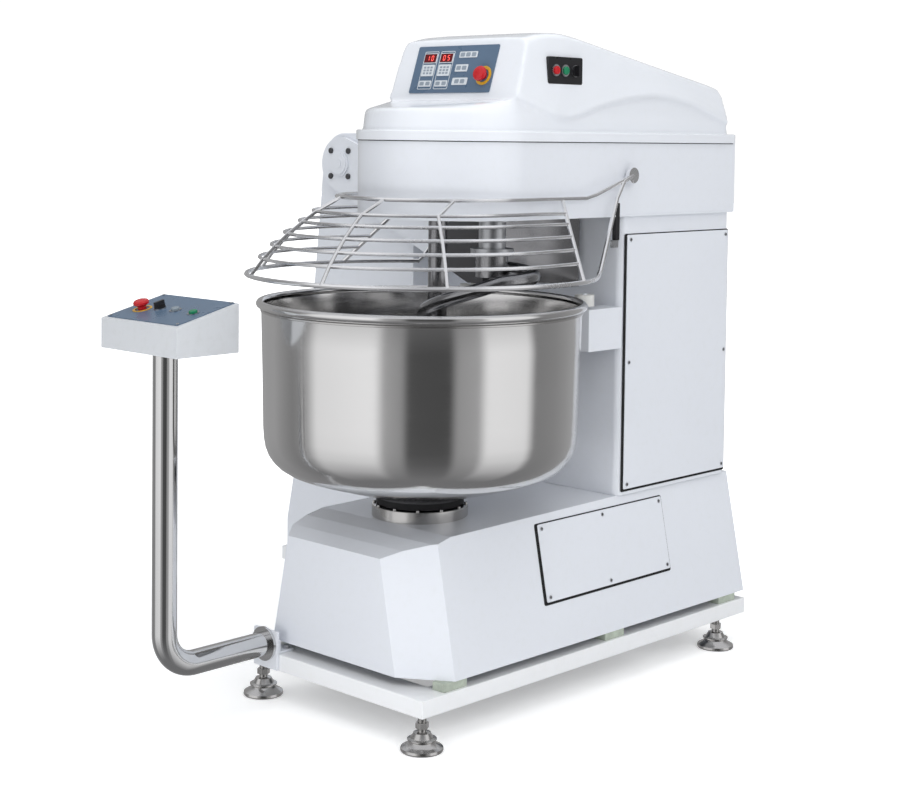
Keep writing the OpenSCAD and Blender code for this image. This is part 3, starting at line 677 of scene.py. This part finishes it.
# black strips showing at each panel's left and lower edges: painted shadow in the gaps round the side
# panel and the access panel
bm = bmesh.new()
frame_strip(bm, rounded(485.5, 705.5, 6, SIDE_PANEL_Y - 3.3, SIDE_PANEL_Z - 1.8),
            rounded(466, 690, 3, SIDE_PANEL_Y, SIDE_PANEL_Z), 0.05, 0.9, side_place)
to_object("side_panel_shadow_gap", bm, "gap_black", "mixer")
bm = bmesh.new()
frame_strip(bm, rounded(539.5, 210, 6, PANEL_Y - 3.3, -2), rounded(520, 194, 3, PANEL_Y, 0),
            0.05, 0.9, plinth_place)
to_object("access_panel_shadow_gap", bm, "gap_black", "mixer")


# a flat black cross on a screw head: painted shade in its cross recess
def cross(bm, place, u, v, w, size):
    for a, b in ((size, size * 0.2), (size * 0.2, size)):
        prism(bm, [(u - a, v - b), (u + a, v - b), (u + a, v + b), (u - a, v + b)], w, w + 0.25, place)


bm = bmesh.new()
for y in (180, 625):
    for z in (515, 850, 1185):
        cross(bm, side_place, y, z, 5.1, 3.2)
for y in (-175, 75, 325):
    for v in (-88, 88):
        cross(bm, plinth_place, y, v, 5.7, 3.2)
to_object("screw_crosses", bm, "gap_black", "mixer", smooth=False)


# the guard's position switch on the head's side, and its silver foot
bm = bmesh.new()
prism(bm, rounded(17, 100, 4, 110, 1236), 0.5, 12, side_place)
to_object("guard_switch", bm, "black_plastic", "mixer")
bm = bmesh.new()
prism(bm, rounded(24, 20, 3, 106, 1176), 0.5, 9, side_place)
to_object("guard_switch_foot", bm, "brushed_steel", "mixer")

# the polished splash sheet on the column, curved round the back of the bowl; its steel is darkened as
# painted shade under the head
SPLASH_R = 520
bm = bmesh.new()
arc = [(SPLASH_R * math.cos(math.radians(a)), BOWL[1] / MM + SPLASH_R * math.sin(math.radians(a)))
       for a in range(79, 114, 2)]
back = [(x * 1.004, y + 1.5) for x, y in arc[::-1]]
prism(bm, arc + back, 1050, HEAD_Z - 2.5, upright)
to_object("splash_sheet", bm, "steel_darkened_as_shade", "mixer")


# ---------------------------------------------------------------- control face

FACE_TILT = math.atan(FACE_LEAN)
COLUMNS = (-103, -44)
DISPLAY_V = 109
STOP_AT = (102, 58)


def face_place(u, v, w):
    """on the control face: u across, v up it, w out of it"""
    c, s = math.cos(FACE_TILT), math.sin(FACE_TILT)
    return (u * MM, (FACE_Y + v * s - w * c) * MM, (FACE_Z + v * c + w * s) * MM)


# each bar of a seven-bar digit: its place across and up, and whether it lies flat
SEGMENTS = {"a": (0, 1, True), "b": (1, 0.5, False), "c": (1, -0.5, False), "d": (0, -1, True),
            "e": (-1, -0.5, False), "f": (-1, 0.5, False), "g": (0, 0, True)}
DIGITS = {"0": "abcdef", "1": "bc", "5": "afgcd"}


def digit(bm, place, text, u, v, w, size):
    for name in DIGITS[text]:
        du, dv, flat = SEGMENTS[name]
        cu, cv = u + du * size * 0.5, v + dv * size
        a, b = (size * 0.42, size * 0.12) if flat else (size * 0.12, size * 0.42)
        prism(bm, [(cu - a, cv - b), (cu + a, cv - b), (cu + a, cv + b), (cu - a, cv + b)],
              w, w + 0.2, place)


bm = bmesh.new()
for x, text in zip(COLUMNS, ("10", "05")):
    digit(bm, face_place, text[0], x - 8, DISPLAY_V, 5.5, 6.5)
    digit(bm, face_place, text[1], x + 8, DISPLAY_V, 5.5, 6.5)
to_object("timer_digits", bm, "digit_glow", "mixer", smooth=False)

bm = bmesh.new()
frame_strip(bm, disc(26, *STOP_AT), disc(18, *STOP_AT), 3.3, 4.6, face_place)
to_object("stop_ring", bm, "yellow_plastic", "mixer")

bm = bmesh.new()
for x in COLUMNS:
    frame_strip(bm, rounded(51, 106, 4, x, 75.5), rounded(48, 103, 3, x, 75.5), 3.3, 3.8, face_place)
    frame_strip(bm, rounded(47.5, 27.5, 3, x, DISPLAY_V), rounded(44.4, 24.4, 2, x, DISPLAY_V),
                3.3, 5.6, face_place)
to_object("panel_lines", bm, "key_white", "mixer", smooth=False)

bm = bmesh.new()
for x in COLUMNS:
    for dv in (-8, 0, 8):
        for du in (-12, 0, 12):
            prism(bm, rounded(8, 5.2, 1, x + du, 75 + dv, 2), 4.9, 5.4, face_place)
    for du in (-11, 11):
        prism(bm, rounded(15, 10, 2, x + du, 38, 2), 4.9, 5.4, face_place)
for u, v, count in ((32, 117, 3), (18, 80, 2), (22, 43, 2)):
    for i in range(count):
        prism(bm, rounded(15, 11, 2, u + 20 * (i - (count - 1) / 2), v, 2), 4.9, 5.4, face_place)
to_object("key_marks", bm, "key_grey", "mixer")


# ---------------------------------------------------------------- side switch plate

SWITCH_X, SWITCH_Z = 236, 1632
SWITCH_YS = (-137, -100, -59)


def switch_place(u, v, w):
    """on the side switch plate: u along it, v up it, w out of it"""
    return ((SWITCH_X + w) * MM, u * MM, v * MM)


bm = bmesh.new()
for y in SWITCH_YS:
    frame_strip(bm, disc(15.5, y, SWITCH_Z), disc(11.2, y, SWITCH_Z), 0.05, 3.0, switch_place)
to_object("button_bezels", bm, "brushed_steel", "mixer")


# ---------------------------------------------------------------- remote box

BOX_FRONT, BOX_BACK = -1041, -852
BOX_FOOT = 923
BOX_LOW, BOX_HIGH = 75, 122
BOX_SLOPE = math.atan((BOX_HIGH - BOX_LOW) / (BOX_BACK - BOX_FRONT))


def box_place(u, v, w):
    """on the box's sloping top: u across, v up the slope, w out of it"""
    c, s = math.cos(BOX_SLOPE), math.sin(BOX_SLOPE)
    return (u * MM, (BOX_FRONT + v * c - w * s) * MM, (BOX_FOOT + BOX_LOW + v * s + w * c) * MM)


bm = bmesh.new()
for (u, v) in ((-352, 98), (-289, 97), (-213, 93)):
    frame_strip(bm, disc(15.5, u, v), disc(11.3, u, v), 2.15, 4.2, box_place)
to_object("remote_bezels", bm, "brushed_steel", "stand")
bm = bmesh.new()
frame_strip(bm, disc(25, -402, 80), disc(19, -402, 80), 2.15, 3.4, box_place)
to_object("remote_stop_ring", bm, "yellow_plastic", "stand")


# ---------------------------------------------------------------- tower and tilt pivot

TILT_X, TILT_Z = -850, 1370
ARM_Y = 114


def pivot_place(u, v, w):
    """round the tilt axis: u across, v up, w forward from the front arm's face"""
    return ((TILT_X + u) * MM, (ARM_Y - w) * MM, (TILT_Z + v) * MM)


bm = bmesh.new()
for r, low, high in ((40, 1.4, 7), (33, 6.9, 10), (14, 9.9, 12)):
    prism(bm, disc(r, 0, 0, 48), low, high, pivot_place)
to_object("pivot_cap", bm, "white_paint", "mixer")

# white casings over the tower's end of the two yoke arms; past them the yoke's near-black is painted
# shade
CASING_R = 83
CASING_END = [(410, -273.5), (410, -62)]
casing = [(CASING_R * math.cos(math.radians(a)), CASING_R * math.sin(math.radians(a)))
          for a in range(70, 247, 8)] + CASING_END
for name, low, high in (("arm_casing_front", -14.6, 1.5), ("arm_casing_rear", -429.5, -413.4)):
    bm = bmesh.new()
    prism(bm, casing, low, high, pivot_place)
    to_object(name, bm, "white_paint", "mixer")


# ---------------------------------------------------------------- feet

bm = bmesh.new()
FEET = ((0.291, -0.656), (-0.291, -0.656), (0.291, 0.545), (-0.291, 0.545), (-1.075, 0.15),
        (-1.075, 0.56))
for foot in FEET:
    for z in (*range(48, 53, 2), *range(69, 78, 2)):
        spin(bm, [(9.8, z), (11, z + 0.6), (11, z + 1.0), (9.8, z + 1.6)], foot, 32)
    spin(bm, [(34, 26.4), (35.5, 27), (35.5, 29.5), (27.5, 31.5), (26.5, 31)], foot, 48)
to_object("foot_threads", bm, "foot_steel", "stand")


# ---------------------------------------------------------------- studio

def build_floor():
    bm = bmesh.new()
    bmesh.ops.create_grid(bm, x_segments=1, y_segments=1, size=30)
    mesh = bpy.data.meshes.new("floor")
    bm.to_mesh(mesh)
    bm.free()
    floor = bpy.data.objects.new("floor", mesh)
    bpy.context.scene.collection.objects.link(floor)
    floor.location.z = -0.0005
    mat, tree, bsdf = start_material("floor_sweep")
    bsdf.inputs["Base Color"].default_value = (1.0, 1.0, 1.0, 1)
    bsdf.inputs["Roughness"].default_value = 0.9
    bsdf.inputs["Specular IOR Level"].default_value = 0.0
    # to the camera the floor brightens into the white backdrop, but keeps its contact shadow
    ray = add(tree, "ShaderNodeLightPath")
    bsdf.inputs["Emission Color"].default_value = (1, 1, 1, 1)
    coords = add(tree, "ShaderNodeTexCoord")
    far = add(tree, "ShaderNodeVectorMath", operation="LENGTH")
    tree.links.new(coords.outputs["Object"], far.inputs[0])
    lift = add(tree, "ShaderNodeMath", operation="MULTIPLY")
    tree.links.new(spread(tree, far.outputs["Value"], 0.30, 1.0, 1.0, 4.5), lift.inputs[0])
    tree.links.new(ray.outputs["Is Camera Ray"], lift.inputs[1])
    tree.links.new(lift.outputs[0], bsdf.inputs["Emission Strength"])
    mesh.materials.append(mat)
    floor.visible_glossy = False


def build_world():
    """white to the camera, soft to diffuse light, and light and dark panels to reflections"""
    world = bpy.data.worlds.new("studio")
    bpy.context.scene.world = world
    world.use_nodes = True
    tree = world.node_tree
    tree.nodes.clear()
    link = tree.links.new
    out = add(tree, "ShaderNodeOutputWorld")
    ray = add(tree, "ShaderNodeLightPath")
    coords = add(tree, "ShaderNodeTexCoord")

    def dot(v):
        n = add(tree, "ShaderNodeVectorMath", operation="DOT_PRODUCT")
        n.inputs[1].default_value = v
        link(coords.outputs["Generated"], n.inputs[0])
        return n.outputs["Value"]

    turn = add(tree, "ShaderNodeMath", operation="ARCTAN2")
    link(dot(TO_RIGHT), turn.inputs[0])
    link(dot(TO_CAM), turn.inputs[1])
    fac = spread(tree, turn.outputs[0], 0, 1, -math.pi, math.pi)
    ramp = add(tree, "ShaderNodeValToRGB")
    stops = [(-180, 0.34), (-130, 0.38), (-104, 0.24), (-90, 0.32), (-79, 0.88), (-32, 1.0),
             (-25, 0.42), (-13, 0.34), (-8, 0.085), (21, 0.075), (27, 0.36), (42, 0.42),
             (49, 0.95), (82, 0.9), (90, 0.24), (112, 0.28), (150, 0.42), (180, 0.34)]
    while len(ramp.color_ramp.elements) < len(stops):
        ramp.color_ramp.elements.new(0.5)
    for element, (deg, value) in zip(ramp.color_ramp.elements, stops):
        element.position = (deg + 180) / 360
        element.color = (value, value, value * 1.01, 1)
    link(fac, ramp.inputs["Fac"])
    up = spread(tree, dot((0, 0, 1)), 0, 1, 0.45, 0.75)
    ceiling = add(tree, "ShaderNodeMix", data_type="RGBA")
    ceiling.inputs[7].default_value = (0.76, 0.77, 0.80, 1)
    link(up, ceiling.inputs[0])
    link(ramp.outputs["Color"], ceiling.inputs[6])
    down = spread(tree, dot((0, 0, 1)), 1, 0, -0.9, -0.2)
    ground = add(tree, "ShaderNodeMix", data_type="RGBA")
    ground.inputs[7].default_value = (0.20, 0.20, 0.205, 1)
    link(down, ground.inputs[0])
    link(ceiling.outputs[2], ground.inputs[6])

    panels = add(tree, "ShaderNodeBackground")
    link(ground.outputs[2], panels.inputs["Color"])
    soft = add(tree, "ShaderNodeBackground")
    soft.inputs["Color"].default_value = (0.96, 0.98, 1.0, 1)
    soft.inputs["Strength"].default_value = 0.56
    plain = add(tree, "ShaderNodeBackground")
    plain.inputs["Color"].default_value = (1, 1, 1, 1)
    plain.inputs["Strength"].default_value = 1.05
    first = add(tree, "ShaderNodeMixShader")
    link(ray.outputs["Is Glossy Ray"], first.inputs[0])
    link(soft.outputs[0], first.inputs[1])
    link(panels.outputs[0], first.inputs[2])
    second = add(tree, "ShaderNodeMixShader")
    link(ray.outputs["Is Camera Ray"], second.inputs[0])
    link(first.outputs[0], second.inputs[1])
    link(plain.outputs[0], second.inputs[2])
    link(second.outputs[0], out.inputs["Surface"])


def area(name, place, target, size, power):
    data = bpy.data.lights.new(name, "AREA")
    data.size = size
    data.energy = power
    lamp = bpy.data.objects.new(name, data)
    bpy.context.scene.collection.objects.link(lamp)
    lamp.location = Vector(place) + TO_FOOT
    lamp.rotation_euler = (Vector(target) - Vector(place)).to_track_quat("-Z", "Y").to_euler()
    lamp.visible_glossy = False


def build_camera():
    data = bpy.data.cameras.new("camera")
    data.sensor_width = 36
    data.lens = CAM_LENS
    data.shift_y = CAM_SHIFT
    data.clip_end = 100
    cam = bpy.data.objects.new("camera", data)
    bpy.context.scene.collection.objects.link(cam)
    aim = Vector((-math.sin(CAM_AZ) * math.cos(CAM_PITCH),
                  math.cos(CAM_AZ) * math.cos(CAM_PITCH), math.sin(CAM_PITCH)))
    up = TO_RIGHT.cross(aim)
    right = TO_RIGHT * math.cos(CAM_ROLL) + up * math.sin(CAM_ROLL)
    up = up * math.cos(CAM_ROLL) - TO_RIGHT * math.sin(CAM_ROLL)
    m = Matrix((right, up, -aim)).transposed().to_4x4()
    m.translation = Vector(CAM_AT) + TO_FOOT
    cam.matrix_world = m
    bpy.context.scene.camera = cam


build_floor()
build_world()
# each lamp's place, what it points at, its size and its power
LAMPS = {
    "key": ((4.2, -1.2, 3.2), (0, 0, 0.7), 3.0, 58),
    "top": ((0.2, -0.6, 4.6), (0, -0.2, 0), 4.5, 84),
    "front": ((0.4, -4.6, 0.9), (0, 0, 0.4), 2.6, 10),
    "low": ((0.7, -3.2, 0.3), (0, -0.6, 0.1), 1.2, 16),
}
for lamp_name, values in LAMPS.items():
    area(lamp_name, *values)
build_camera()
bpy.context.scene.view_settings.view_transform = "Standard"
